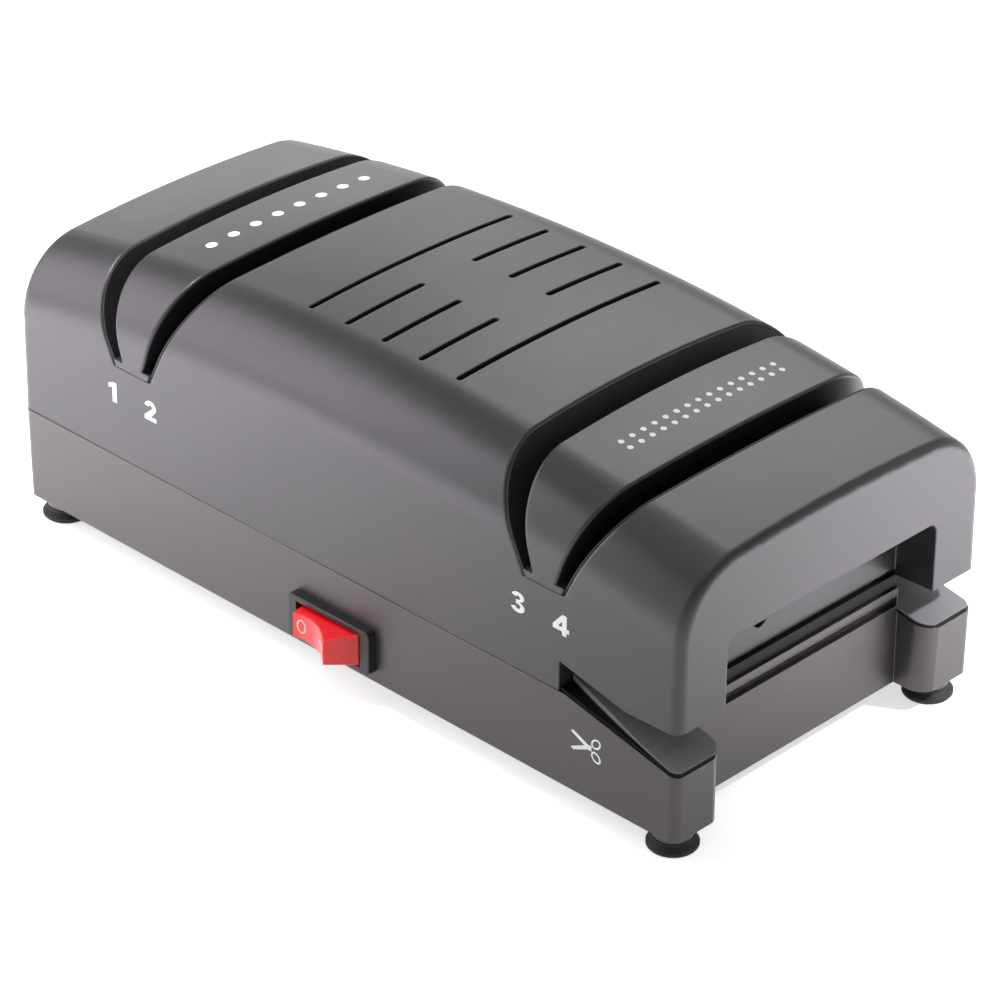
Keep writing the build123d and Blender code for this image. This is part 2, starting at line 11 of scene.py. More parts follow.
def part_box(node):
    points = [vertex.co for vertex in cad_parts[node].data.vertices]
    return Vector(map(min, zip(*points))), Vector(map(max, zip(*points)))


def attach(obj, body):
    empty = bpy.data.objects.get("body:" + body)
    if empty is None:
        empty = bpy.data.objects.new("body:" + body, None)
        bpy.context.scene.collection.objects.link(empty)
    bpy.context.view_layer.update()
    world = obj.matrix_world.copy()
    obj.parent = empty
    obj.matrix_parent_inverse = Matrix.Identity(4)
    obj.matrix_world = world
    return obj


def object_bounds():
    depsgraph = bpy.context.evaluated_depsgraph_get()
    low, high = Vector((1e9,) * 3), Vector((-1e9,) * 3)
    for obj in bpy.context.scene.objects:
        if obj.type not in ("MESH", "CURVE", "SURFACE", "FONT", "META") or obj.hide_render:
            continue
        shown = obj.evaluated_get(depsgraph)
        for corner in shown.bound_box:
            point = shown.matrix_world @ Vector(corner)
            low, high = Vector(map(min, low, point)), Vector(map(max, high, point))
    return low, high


bl_info = {
    "name": "Two-stage electric sharpener",
    "version": (1, 0, 0),
    "blender": (4, 5, 0),
    "location": "View3D > Sidebar > Sharpener",
    "description": "Dresses the packed sharpener frame with finishes, printed marks and a stage",
    "category": "Object",
}

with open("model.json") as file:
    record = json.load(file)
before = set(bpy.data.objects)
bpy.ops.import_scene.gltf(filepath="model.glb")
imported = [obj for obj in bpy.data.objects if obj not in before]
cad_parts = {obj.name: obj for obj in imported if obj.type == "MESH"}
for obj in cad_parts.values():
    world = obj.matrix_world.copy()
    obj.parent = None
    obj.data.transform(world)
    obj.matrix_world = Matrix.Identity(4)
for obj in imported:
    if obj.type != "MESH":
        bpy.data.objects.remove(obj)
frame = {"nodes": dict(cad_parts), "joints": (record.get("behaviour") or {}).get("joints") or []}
cad_nodes = frame["nodes"]
cad_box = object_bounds()
joints = {joint["name"]: joint for joint in frame["joints"]}

MM = 0.001
MICRON = 0.000001
RIGHT = Vector((1, 0, 0))
UP = Vector((0, 0, 1))

HOUSING = "housing"
ROCKER = "rocker"
STATIONS = ("coarse", "fine")
STATION_X = {name: sum(corner.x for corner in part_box(name + "_wheel_cover")) / 2 for name in STATIONS}
SHAFT_Z = joints["rotor_spin"]["pos_m"][2]
ROCKER_REST = -math.radians(joints["rocker_tilt"]["range_deg"][1]) / 2

# The scissors deck's slope, a point on it, and the heights above it where the pad begins and ends; below and
# above the pad the deck gets painted shade
DECK_FALL = math.tan(math.radians(12.2))
DECK_POINT_X = 84.0 * MM
DECK_POINT_Z = 35.0 * MM
PAD_BEGINS = (0.9 * MM, 1.05 * MM)
PAD_ENDS = (2.8 * MM, 3.2 * MM)

# Grey of the sky by height, from straight below at 0 to straight above at 1
SKY_BANDS = [(0.0, 0.9), (0.6, 0.66), (0.75, 0.42), (0.83, 0.12), (0.9, 0.06), (1.0, 1.0)]
FLOOR_REACH = 4.0
SENSOR_WIDTH = 36.0


# What a user may change

def screen(red, green, blue):
    """Linear colour of a screen colour given from 0 to 255."""
    return tuple(((c / 255 + 0.055) / 1.055) ** 2.4 for c in (red, green, blue))


def colour(name, description, value):
    """A linear colour."""
    return FloatVectorProperty(name=name, description=description, subtype="COLOR", size=3,
                               min=0.0, max=1.0, default=value)


def size(name, description, millimetres):
    """A length or a place."""
    return FloatProperty(name=name, description=description, subtype="DISTANCE", unit="LENGTH",
                         default=millimetres * MM)


def angle(name, description, degrees):
    """An angle."""
    return FloatProperty(name=name, description=description, subtype="ANGLE", unit="ROTATION",
                         default=math.radians(degrees))


def power(name, description, watts):
    """A lamp's power."""
    return FloatProperty(name=name, description=description, subtype="POWER", unit="POWER",
                         min=0.0, default=watts)


def share(name, description, value):
    """A plain number."""
    return FloatProperty(name=name, description=description, default=value)


def count(name, description, value):
    """A whole number of two or more."""
    return IntProperty(name=name, description=description, min=2, default=value)


class SharpenerFinishes(bpy.types.PropertyGroup):
    """Colours of the sharpener's surfaces"""

    cover: colour("Cover", "Gunmetal paint on the top cover and wheel covers", screen(80, 77, 81))
    base: colour("Base", "Slightly warmer and lighter paint on the base", screen(86, 82, 84))
    # On the deck's rim and ledge a darker copy of this black is painted shade
    black: colour("Black plastic", "Switch frame, and darker still the slot guides, roof and deck rim",
                  screen(30, 28, 30))
    deck: colour("Deck plastic", "Spark-textured pad of the scissors deck", screen(134, 133, 137))
    rubber: colour("Rubber", "Feet and cord gland", screen(24, 23, 23))
    rocker: colour("Rocker", "Translucent red switch rocker", screen(240, 20, 28))
    pad_print: colour("Print", "White pad print", screen(252, 252, 253))
    sign: colour("Switch signs", "Pale print on the rocker", screen(255, 216, 210))
    steel: colour("Steel", "Screws, bolts, pin, shaft, hubs and nuts", screen(196, 196, 198))
    cast: colour("Cast metal", "Motor brackets", screen(176, 177, 180))
    lamination: colour("Lamination", "Stator and rotor stacks", screen(122, 122, 126))
    copper: colour("Copper", "Enamelled windings", screen(184, 104, 56))
    bronze: colour("Bronze", "Sintered bushes", screen(176, 138, 88))
    brass: colour("Brass", "Switch terminals", screen(214, 190, 128))
    tray: colour("Tray", "Swarf trays and fan", screen(58, 58, 60))
    magnet: colour("Magnet", "Ferrite swarf magnets", screen(70, 70, 72))
    coarse: colour("Coarse stone", "Coarse abrasive wheel", screen(122, 112, 104))
    fine: colour("Fine stone", "Fine abrasive wheel", screen(196, 190, 182))


class SharpenerMarks(bpy.types.PropertyGroup):
    """Sizes and places of the printed marks"""

    film: size("Print film", "How far the printed ink stands proud", 0.06)
    digit_height: size("Digit height", "Height of the slot numbers", 6.05)
    digit_unit: size("Digit unit", "Width of the box that the numbers are drawn in", 6.75)
    digit_low: size("Digit foot", "Height of the numbers' lower edge", 51.65)
    digit_side: size("Digit offset", "Distance of a number from the middle of its pair", 7.6)
    digit_shift: size("Digit shift", "Distance of a pair's middle from its station's middle", -0.75)
    scissors: size("Scissors sign", "Length of the scissors sign", 10.6)
    scissors_x: size("Scissors place", "Pivot of the scissors sign along the housing", 93.6)
    scissors_z: size("Scissors height", "Pivot of the scissors sign above the table", 22.35)
    off_x: size("Off sign place", "Middle of the off ring from the rocker's pin", -5.7)
    off_z: size("Off sign height", "Middle of the off ring above the rocker's pin", 0.3)
    off_across: size("Off ring width", "Outer width of the off ring", 3.0)
    off_up: size("Off ring height", "Outer height of the off ring", 4.3)
    off_line: size("Off ring line", "Width of the off ring's line", 0.4)
    on_start: size("On bar start", "Start of the on bar from the rocker's pin", 2.9)
    on_end: size("On bar end", "End of the on bar from the rocker's pin", 6.7)
    on_low: size("On bar foot", "Lower edge of the on bar above the rocker's pin", -0.15)
    on_high: size("On bar head", "Upper edge of the on bar above the rocker's pin", 0.4)
    coarse_dot: size("Coarse dot", "Diameter of the coarse wheel cover's dots", 3.4)
    fine_dot: size("Fine dot", "Diameter of the fine wheel cover's dots", 1.7)
    fine_gap: size("Fine row gap", "Distance between the fine wheel cover's two rows", 3.2)
    dots_low: size("Dot row start", "Front end of the dot rows", -28.0)
    dots_high: size("Dot row end", "Back end of the dot rows", 30.0)
    coarse_count: count("Coarse dots", "Dots on the coarse wheel cover", 8)
    fine_count: count("Fine dots", "Dots in each row on the fine wheel cover", 15)


class SharpenerStage(bpy.types.PropertyGroup):
    """Camera, lamps and floor"""

    eye: FloatVectorProperty(name="Eye", description="Camera place", subtype="XYZ", unit="LENGTH",
                             size=3, default=(0.763175, -0.776779, 0.673295))
    azimuth: angle("Azimuth", "Camera's turn about the object", 44.494)
    elevation: angle("Elevation", "Camera's rise", 29.954)
    roll: angle("Roll", "Camera's roll", 0.252)
    aim_right: share("Aim right", "How far the view's middle lies right of the camera's axis", 0.0033)
    aim_up: share("Aim up", "How far the view's middle lies above the camera's axis", -0.0096)
    lens: share("Lens", "Focal length in millimetres", 166.2)
    floor: colour("Floor", "Pale table", (0.86, 0.86, 0.86))
    floor_glow: share("Floor glow", "Light added to the floor for the camera and for reflections", 0.61)
    front: power("Front lamp", "High spot on the floor before the left end", 400.0)
    end: power("End lamp", "Spot on the floor behind the scissors end", 440.0)
    left: power("Left lamp", "Low softbox behind the left end", 1.15)
    back: power("Back lamp", "High softbox behind the cover", 4.0)
    shoulder: power("Shoulder lamp", "Low softbox on the front's left shoulder", 1.75)


# Node helpers

def wire(tree, source, target):
    """Joins two sockets."""
    tree.links.new(source, target)


def object_place(tree):
    """Place on the object, in metres."""
    return tree.nodes.new("ShaderNodeTexCoord").outputs["Object"]


def split_axes(tree, place):
    """X, Y and Z of a place."""
    node = tree.nodes.new("ShaderNodeSeparateXYZ")
    wire(tree, place, node.inputs["Vector"])
    return node.outputs


def maths(tree, operation, first, second=None):
    """Math node; each operand is a socket or a number."""
    node = tree.nodes.new("ShaderNodeMath")
    node.operation = operation
    for i, operand in enumerate((first, second)):
        if isinstance(operand, (int, float)):
            node.inputs[i].default_value = operand
        elif operand is not None:
            wire(tree, operand, node.inputs[i])
    return node.outputs[0]


def spread(tree, value, low, high, new_low, new_high):
    """Map Range node with its clamp on."""
    node = tree.nodes.new("ShaderNodeMapRange")
    for i, limit in enumerate((low, high, new_low, new_high), start=1):
        node.inputs[i].default_value = limit
    wire(tree, value, node.inputs[0])
    return node.outputs[0]


def blend(tree, factor, first, second, mode="MIX"):
    """Colour mix; each colour is a socket or a linear colour."""
    factor_in, first_in, second_in, colour_out = 0, 6, 7, 2
    node = tree.nodes.new("ShaderNodeMix")
    node.data_type = "RGBA"
    node.blend_type = mode
    wire(tree, factor, node.inputs[factor_in])
    for i, operand in ((first_in, first), (second_in, second)):
        if isinstance(operand, bpy.types.NodeSocket):
            wire(tree, operand, node.inputs[i])
        else:
            node.inputs[i].default_value = (*operand, 1.0)
    return node.outputs[colour_out]


def noise(tree, place, scale, detail, roughness):
    """Noise value at a place; scale is a socket or a number per metre."""
    node = tree.nodes.new("ShaderNodeTexNoise")
    node.inputs["Detail"].default_value = detail
    node.inputs["Roughness"].default_value = roughness
    wire(tree, place, node.inputs["Vector"])
    if isinstance(scale, bpy.types.NodeSocket):
        wire(tree, scale, node.inputs["Scale"])
    else:
        node.inputs["Scale"].default_value = scale
    return node.outputs["Fac"]


def shaded(tone, factor, lift=0.0):
    """A colour made darker or lighter, and lifted evenly."""
    return tuple(min(1.0, c * factor + lift) for c in tone)


# Shared effects

def make_group(name, inputs, outputs):
    """Empty shader group with named float inputs and named outputs."""
    group = bpy.data.node_groups.new(name, "ShaderNodeTree")
    for label, value in inputs:
        socket = group.interface.new_socket(label, in_out="INPUT", socket_type="NodeSocketFloat")
        socket.default_value = value
    for label, kind in outputs:
        group.interface.new_socket(label, in_out="OUTPUT", socket_type=kind)
    return group, group.nodes.new("NodeGroupInput"), group.nodes.new("NodeGroupOutput")


def grain_group():
    """Fine moulded or sprayed grain, and the slow tone change over a panel."""
    tree, given, out = make_group("Moulded grain", [("Grain Scale", 3000.0), ("Tone Scale", 30.0)],
                                  [("Height", "NodeSocketFloat"), ("Tone", "NodeSocketFloat")])
    place = object_place(tree)
    grain = noise(tree, place, given.outputs["Grain Scale"], detail=3.0, roughness=0.6)
    tone = noise(tree, place, given.outputs["Tone Scale"], detail=3.0, roughness=0.55)
    wire(tree, grain, out.inputs["Height"])
    wire(tree, tone, out.inputs["Tone"])
    return tree


def edge_group():
    """Rounded edge normal, and a broken mask of the edges that are painted paler, part rub and part painted
    highlight.
    """
    tree, given, out = make_group("Softened edge", [("Radius", 0.6 * MM), ("Break Scale", 900.0)],
                                  [("Normal", "NodeSocketVector"), ("Rub And Sheen", "NodeSocketFloat")])
    bevel = tree.nodes.new("ShaderNodeBevel")
    bevel.samples = 6
    wire(tree, given.outputs["Radius"], bevel.inputs["Radius"])
    facing = tree.nodes.new("ShaderNodeVectorMath")
    facing.operation = "DOT_PRODUCT"
    wire(tree, bevel.outputs["Normal"], facing.inputs[0])
    wire(tree, tree.nodes.new("ShaderNodeNewGeometry").outputs["Normal"], facing.inputs[1])
    turned = spread(tree, facing.outputs["Value"], 0.99, 0.8, 0.0, 1.0)
    breaks = noise(tree, object_place(tree), given.outputs["Break Scale"], detail=4.0, roughness=0.65)
    patches = spread(tree, breaks, 0.35, 0.65, 0.2, 1.0)
    wire(tree, bevel.outputs["Normal"], out.inputs["Normal"])
    wire(tree, maths(tree, "MULTIPLY", turned, patches), out.inputs["Rub And Sheen"])
    return tree


def handling_group():
    """Uneven gloss left by wiping and handling, from 0 to 1."""
    tree, given, out = make_group("Handling", [("Wipe Scale", 22.0)], [("Gloss", "NodeSocketFloat")])
    place = object_place(tree)
    stretch = tree.nodes.new("ShaderNodeMapping")
    stretch.inputs["Scale"].default_value = (1.0, 0.35, 1.6)
    wire(tree, place, stretch.inputs["Vector"])
    wiped = noise(tree, stretch.outputs["Vector"], given.outputs["Wipe Scale"], detail=5.0, roughness=0.6)
    specks = noise(tree, place, 700.0, detail=2.0, roughness=0.5)
    mixed = maths(tree, "ADD", maths(tree, "MULTIPLY", wiped, 0.75), maths(tree, "MULTIPLY", specks, 0.25))
    wire(tree, spread(tree, mixed, 0.3, 0.7, 0.0, 1.0), out.inputs["Gloss"])
    return tree


GROUPS = {}


def place_group(tree, maker, **values):
    """Places a shared group in a material, built on its first use, with its own values."""
    if maker not in GROUPS:
        GROUPS[maker] = maker()
    node = tree.nodes.new("ShaderNodeGroup")
    node.node_tree = GROUPS[maker]
    for label, value in values.items():
        node.inputs[label.replace("_", " ").title()].default_value = value
    return node.outputs


# Materials

def new_material(name, tone):
    """Material with an empty Principled shader."""
    material = bpy.data.materials.new(name)
    material.use_nodes = True
    material.diffuse_color = (*tone, 1.0)
    return material, material.node_tree, material.node_tree.nodes["Principled BSDF"]


def add_relief(tree, shader, height, depth, normal=None):
    """Bump of a real depth in metres on top of a base normal."""
    bump = tree.nodes.new("ShaderNodeBump")
    bump.inputs["Strength"].default_value = 1.0
    bump.inputs["Distance"].default_value = depth
    wire(tree, height, bump.inputs["Height"])
    if normal is not None:
        wire(tree, normal, bump.inputs["Normal"])
    wire(tree, bump.outputs["Normal"], shader.inputs["Normal"])


def moulded(name, tone, roughness, metallic=0.0, grain=3000.0, depth=10 * MICRON, edge=0.5 * MM, rub_and_sheen=0.35,
            wear_and_sheen_lift=0.01, shift=0.05, swing=0.06, shine=0.5, mask=None, painted_shade=None):
    """Moulded, painted or cast surface: grain, slow tone change, wiped gloss, soft edges painted paler as rub
    and as painted highlight.

    rub_and_sheen says how clear the paler edges are and wear_and_sheen_lift how much paler, swing how far the
    tone changes and shift how far the roughness does. Where mask is 0, the colour is painted_shade, a darker
    colour painted where shade falls.
    """
    material, tree, shader = new_material(name, tone)
    texture = place_group(tree, grain_group, grain_scale=grain, tone_scale=34.0)
    edges = place_group(tree, edge_group, radius=edge)
    wiped = place_group(tree, handling_group)
    body = blend(tree, texture["Tone"], shaded(tone, 1 - swing), shaded(tone, 1 + swing))
    if mask:
        body = blend(tree, mask(tree), painted_shade, body)
    # Edges painted paler: part rub, part painted highlight
    rubbed_and_sheen = blend(tree, maths(tree, "MULTIPLY", edges["Rub And Sheen"], rub_and_sheen), body, shaded(tone, 1.35, wear_and_sheen_lift))
    wire(tree, rubbed_and_sheen, shader.inputs["Base Color"])
    gloss = spread(tree, wiped["Gloss"], 0.0, 1.0, roughness - shift, roughness + shift)
    wire(tree, gloss, shader.inputs["Roughness"])
    shader.inputs["Metallic"].default_value = metallic
    shader.inputs["Specular IOR Level"].default_value = shine
    add_relief(tree, shader, texture["Height"], depth, edges["Normal"])
    return material


def pad_clear_of_painted_shade(tree):
    """1 on the pad that stands above the scissors deck's slope, 0 on the deck's rim and ledge, which get
    painted shade.
    """
    axes = split_axes(tree, object_place(tree))
    levelled = maths(tree, "ADD", axes["Z"], maths(tree, "MULTIPLY", axes["X"], DECK_FALL))
    rise = maths(tree, "SUBTRACT", levelled, DECK_POINT_Z + DECK_POINT_X * DECK_FALL)
    above_rim = spread(tree, rise, *PAD_BEGINS, 0.0, 1.0)
    below_ledge = spread(tree, rise, *PAD_ENDS, 1.0, 0.0)
    return maths(tree, "MULTIPLY", above_rim, below_ledge)


def abrasive(name, tone, grit):
    """Bonded abrasive: pale and dark grit standing out of the bond."""
    material, tree, shader = new_material(name, tone)
    cells = tree.nodes.new("ShaderNodeTexVoronoi")
    cells.inputs["Scale"].default_value = 1 / grit
    wire(tree, object_place(tree), cells.inputs["Vector"])
    chance = tree.nodes.new("ShaderNodeSeparateColor")
    wire(tree, cells.outputs["Color"], chance.inputs["Color"])
    grains = blend(tree, chance.outputs["Red"], shaded(tone, 0.55), shaded(tone, 1.5))
    wire(tree, grains, shader.inputs["Base Color"])
    wire(tree, spread(tree, chance.outputs["Green"], 0.0, 1.0, 0.7, 0.95), shader.inputs["Roughness"])
    lifted = maths(tree, "MULTIPLY", chance.outputs["Blue"], 0.6)
    add_relief(tree, shader, maths(tree, "ADD", cells.outputs["Distance"], lifted), grit * 0.5)
    return material


def striped(name, tone, pitch, metallic, roughness, radial=False):
    """Stacked sheets along the shaft, or wire turns round it."""
    material, tree, shader = new_material(name, tone)
    axes = split_axes(tree, object_place(tree))
    run = axes["X"]
    if radial:
        rise = maths(tree, "SUBTRACT", axes["Z"], SHAFT_Z)
        squares = maths(tree, "ADD", maths(tree, "POWER", axes["Y"], 2.0), maths(tree, "POWER", rise, 2.0))
        run = maths(tree, "ADD", maths(tree, "SQRT", squares), maths(tree, "ABSOLUTE", run))
    wave = maths(tree, "DIVIDE", maths(tree, "PINGPONG", run, pitch / 2), pitch / 2)
    texture = place_group(tree, grain_group, grain_scale=1500.0, tone_scale=60.0)
    grooved = blend(tree, spread(tree, wave, 0.0, 0.45, 0.0, 1.0), shaded(tone, 0.35), tone)
    toned = blend(tree, texture["Tone"], shaded(tone, 0.8), (1.0, 1.0, 1.0))
    wire(tree, blend(tree, texture["Tone"], grooved, toned, "MULTIPLY"), shader.inputs["Base Color"])
    gloss = spread(tree, texture["Height"], 0.3, 0.7, roughness - 0.06, roughness + 0.08)
    wire(tree, gloss, shader.inputs["Roughness"])
    shader.inputs["Metallic"].default_value = metallic
    add_relief(tree, shader, wave, pitch * 0.3)
    return material


def glowing_red(name, tone):
    """Translucent moulded rocker: light bleeds through the red, under a smooth skin."""
    material, tree, shader = new_material(name, tone)
    texture = place_group(tree, grain_group, grain_scale=500.0, tone_scale=60.0)
    edges = place_group(tree, edge_group, radius=0.7 * MM)
    body = blend(tree, texture["Tone"], shaded(tone, 0.92), tone)
    # Edges painted paler: part rub, part painted highlight
    wire(tree, blend(tree, edges["Rub And Sheen"], body, shaded(tone, 1.1, 0.06)), shader.inputs["Base Color"])
    wire(tree, spread(tree, texture["Height"], 0.3, 0.7, 0.22, 0.28), shader.inputs["Roughness"])
    shader.inputs["Subsurface Weight"].default_value = 0.6
    shader.inputs["Subsurface Radius"].default_value = (1.0, 0.12, 0.1)
    shader.inputs["Subsurface Scale"].default_value = 4.0 * MM
    shader.inputs["Coat Weight"].default_value = 0.15
    shader.inputs["Coat Roughness"].default_value = 0.12
    add_relief(tree, shader, texture["Height"], 2 * MICRON, edges["Normal"])
    return material


def ink(name, tone):
    """Slightly uneven pad print."""
    material, tree, shader = new_material(name, tone)
    texture = place_group(tree, grain_group, grain_scale=2500.0, tone_scale=400.0)
    wire(tree, blend(tree, texture["Tone"], shaded(tone, 0.93), tone), shader.inputs["Base Color"])
    wire(tree, spread(tree, texture["Height"], 0.3, 0.7, 0.45, 0.6), shader.inputs["Roughness"])
    return material


def finishes():
    """The scene's colours."""
    return bpy.context.scene.sharpener_finishes


def print_ink():
    """The white ink, made on its first use."""
    return bpy.data.materials.get("white_ink") or ink("white_ink", finishes().pad_print)


def dress(material, *names):
    """Gives CAD nodes a material, and even shading over their facets."""
    for name in names:
        node = cad_nodes[name]
        node.data.materials.clear()
        node.data.materials.append(material)
        node.modifiers.new("even_shading", "WEIGHTED_NORMAL").weight = 60


# Printed marks: flat outlines laid on a CAD surface

def ellipse(centre, across, up, turn=0.0, steps=36):
    """Points of an ellipse in the flat of the mark."""
    turned = Matrix.Rotation(turn, 2)
    angles = [2 * math.pi * i / steps for i in range(steps)]
    return [Vector(centre) + turned @ Vector((across * math.cos(a), up * math.sin(a))) for a in angles]


def arc(centre, across, up, start, stop, steps=16):
    """Points of an elliptic arc between two angles in degrees."""
    turns = [math.radians(start + (stop - start) * i / steps) for i in range(steps + 1)]
    return [(centre[0] + across * math.cos(t), centre[1] + up * math.sin(t)) for t in turns]


def add_line(bm, points):
    """Points in the flat of the mark."""
    return [bm.verts.new((p[0], p[1], 0.0)) for p in points]


def add_patch(bm, points):
    """One flat face."""
    bm.faces.new(add_line(bm, points))


def add_loop(bm, outer, inner):
    """Closed band between two outlines of as many points."""
    far, near = add_line(bm, outer), add_line(bm, inner)
    for i in range(len(far)):
        j = (i + 1) % len(far)
        bm.faces.new((far[i], far[j], near[j], near[i]))


def add_band(bm, outer, inner):
    """Open band between two clockwise lines of as many points."""
    far, near = add_line(bm, outer), add_line(bm, inner)
    for i in range(len(far) - 1):
        bm.faces.new((far[i + 1], far[i], near[i], near[i + 1]))


def number_mesh(digit, unit, height):
    """Bold number of unit-box outlines, its foot on the origin and its middle at zero."""
    bm = bmesh.new()
    if digit == "1":
        add_patch(bm, [(-0.05, 0), (0.2, 0), (0.2, 1), (0.0, 1), (-0.28, 0.88), (-0.28, 0.66), (-0.05, 0.75)])
    elif digit == "2":
        add_band(bm, arc((0, 0.68), 0.34, 0.32, 172, -28) + [(0.04, 0.2)],
                 arc((0, 0.68), 0.11, 0.12, 172, -28) + [(-0.35, 0.2)])
        add_patch(bm, [(-0.35, 0), (0.35, 0), (0.35, 0.2), (0.04, 0.2), (-0.35, 0.2)])
    elif digit == "3":
        add_band(bm, arc((0, 0.76), 0.33, 0.24, 168, -90) + [(-0.1, 0.52)],
                 arc((0, 0.72), 0.11, 0.1, 168, -90) + [(-0.1, 0.62)])
        add_band(bm, [(-0.1, 0.52)] + arc((0, 0.26), 0.36, 0.26, 90, -168),
                 [(-0.1, 0.42)] + arc((0, 0.3), 0.13, 0.12, 90, -168))
    else:
        add_patch(bm, [(0.06, 0), (0.29, 0), (0.29, 0.19), (0.06, 0.19)])
        add_patch(bm, [(-0.42, 0.19), (0.06, 0.19), (0.29, 0.19), (0.42, 0.19), (0.42, 0.39), (0.29, 0.39),
                       (0.06, 0.39), (-0.15, 0.39), (-0.42, 0.39)])
        add_patch(bm, [(0.06, 0.39), (0.29, 0.39), (0.29, 1.0), (0.06, 1.0), (0.06, 0.67)])
        add_patch(bm, [(-0.42, 0.39), (-0.15, 0.39), (0.06, 0.67), (0.06, 1.0)])
    bmesh.ops.scale(bm, vec=(unit, height, 1.0), verts=bm.verts)
    bmesh.ops.remove_doubles(bm, verts=bm.verts, dist=height * 0.001)
    return bm


def scissors_mesh(length):
    """Open scissors, drawn in millimetres with the pivot on the origin and the points to the left."""
    drawn_length = 10.6
    half = [(-0.3, 0.0), (-5.2, -2.45), (-4.05, -3.0), (0.9, -0.75), (2.2, -0.8)]
    handle, handle_turn = (3.75, 2.05), math.radians(42)
    rim, hole = (1.85, 1.45), (1.3, 0.9)
    bm = bmesh.new()
    add_patch(bm, half + [(x, -y) for x, y in reversed(half[1:])])
    for side in (-1, 1):
        centre = (handle[0], side * handle[1])
        add_loop(bm, ellipse(centre, *rim, side * handle_turn), ellipse(centre, *hole, side * handle_turn))
    scale = length / drawn_length
    bmesh.ops.scale(bm, vec=(scale, scale, 1.0), verts=bm.verts)
    return bm


def surface_of(name):
    """Ray tree of a CAD node at rest."""
    mesh = cad_nodes[name].data
    return BVHTree.FromPolygons([v.co for v in mesh.vertices], [p.vertices for p in mesh.polygons])


def lay_mark(name, bm, onto, origin, across, up, body, material):
    """Lays a flat mark on a CAD node as a thin film of ink that rides on a body."""
    film = bpy.context.scene.sharpener_marks.film
    sunk = film / 2
    clear = 50.0 * MM
    outward = across.cross(up).normalized()
    tree = surface_of(onto)
    for vert in bm.verts:
        spot = origin + across * vert.co.x + up * vert.co.y
        hit = tree.ray_cast(spot + outward * clear, -outward)[0]
        if hit is None:
            raise RuntimeError(f"{name} runs past the edge of {onto}")
        vert.co = hit + outward * film
    mesh = bpy.data.meshes.new(name)
    bm.to_mesh(mesh)
    bm.free()
    mark = bpy.data.objects.new(name, mesh)
    bpy.context.scene.collection.objects.link(mark)
    mesh.materials.append(material)
    skin = mark.modifiers.new("film", "SOLIDIFY")
    skin.thickness = film + sunk
    skin.offset = -1.0
    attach(mark, body)


# Operators, one for each group of pieces and one for the stage

class SharpenerOperator:
    """Common settings of the sharpener's operators"""

    bl_options = {"REGISTER", "UNDO"}


class SHARPENER_OT_housing(SharpenerOperator, bpy.types.Operator):
    """Gunmetal paint on the top cover and wheel covers, and a warmer coat on the base"""

    bl_idname = "sharpener.housing"
    bl_label = "Paint housing"

    def execute(self, context):
        tones = finishes()
        covers = [name + "_wheel_cover" for name in STATIONS]
        spray = dict(roughness=0.38, metallic=0.75, grain=2600.0, depth=6 * MICRON, shift=0.035, swing=0.03)
        # Edges are painted paler, part rub and part painted highlight; strongly on the base, as the light
        # line along the seam
        cool = moulded("gunmetal_paint", tones.cover, edge=0.8 * MM, rub_and_sheen=0.3, wear_and_sheen_lift=0.01, **spray)
        warm = moulded("warm_gunmetal_paint", tones.base, edge=0.3 * MM, rub_and_sheen=0.8, wear_and_sheen_lift=0.12, **spray)
        dress(cool, "top_cover", *covers)
        dress(warm, "base_housing")
        return {"FINISHED"}


class SHARPENER_OT_black_parts(SharpenerOperator, bpy.types.Operator):
    """Black switch frame with painted highlight on its edges, slot guides and scissors roof, and the textured
    pad on the deck, whose rim and ledge are black darkened as painted shade
    """

    bl_idname = "sharpener.black_parts"
    bl_label = "Colour black parts"

    def execute(self, context):
        black = finishes().black
        # The frame's edges are painted much paler: a painted highlight line along the bezel, with some rub
        smooth = moulded("black_moulding", black, roughness=0.38, grain=1800.0, depth=8 * MICRON,
                         edge=0.4 * MM, rub_and_sheen=0.9, wear_and_sheen_lift=0.12)
        dull = moulded("dull_black", shaded(black, 0.6), roughness=0.6, grain=1800.0, depth=12 * MICRON,
                       edge=0.3 * MM, rub_and_sheen=0.1)
        # The deck's rim and ledge are its black plastic darkened further, as painted shade
        pad_and_shade = moulded("spark_pad_and_painted_shade", finishes().deck, roughness=0.52, grain=1400.0, depth=50 * MICRON,
                        edge=0.3 * MM, rub_and_sheen=0.1, swing=0.12, shine=0.15, mask=pad_clear_of_painted_shade,
                        painted_shade=shaded(black, 0.8))
        dress(smooth, "switch_frame")
        dress(dull, "scissor_roof", *[name + "_slot_guide" for name in STATIONS])
        dress(pad_and_shade, "scissor_deck")
        return {"FINISHED"}


class SHARPENER_OT_rubber(SharpenerOperator, bpy.types.Operator):
    """Rubber feet and cord gland"""

    bl_idname = "sharpener.rubber"
    bl_label = "Colour rubber parts"

    def execute(self, context):
        rubber = moulded("foot_rubber", finishes().rubber, roughness=0.7, grain=2200.0, depth=30 * MICRON,
                         edge=0.4 * MM, rub_and_sheen=0.6)
        feet = [name for name in cad_nodes if name.startswith("foot_") and name != "foot_screws"]
        dress(rubber, "cord_gland", *feet)
        return {"FINISHED"}


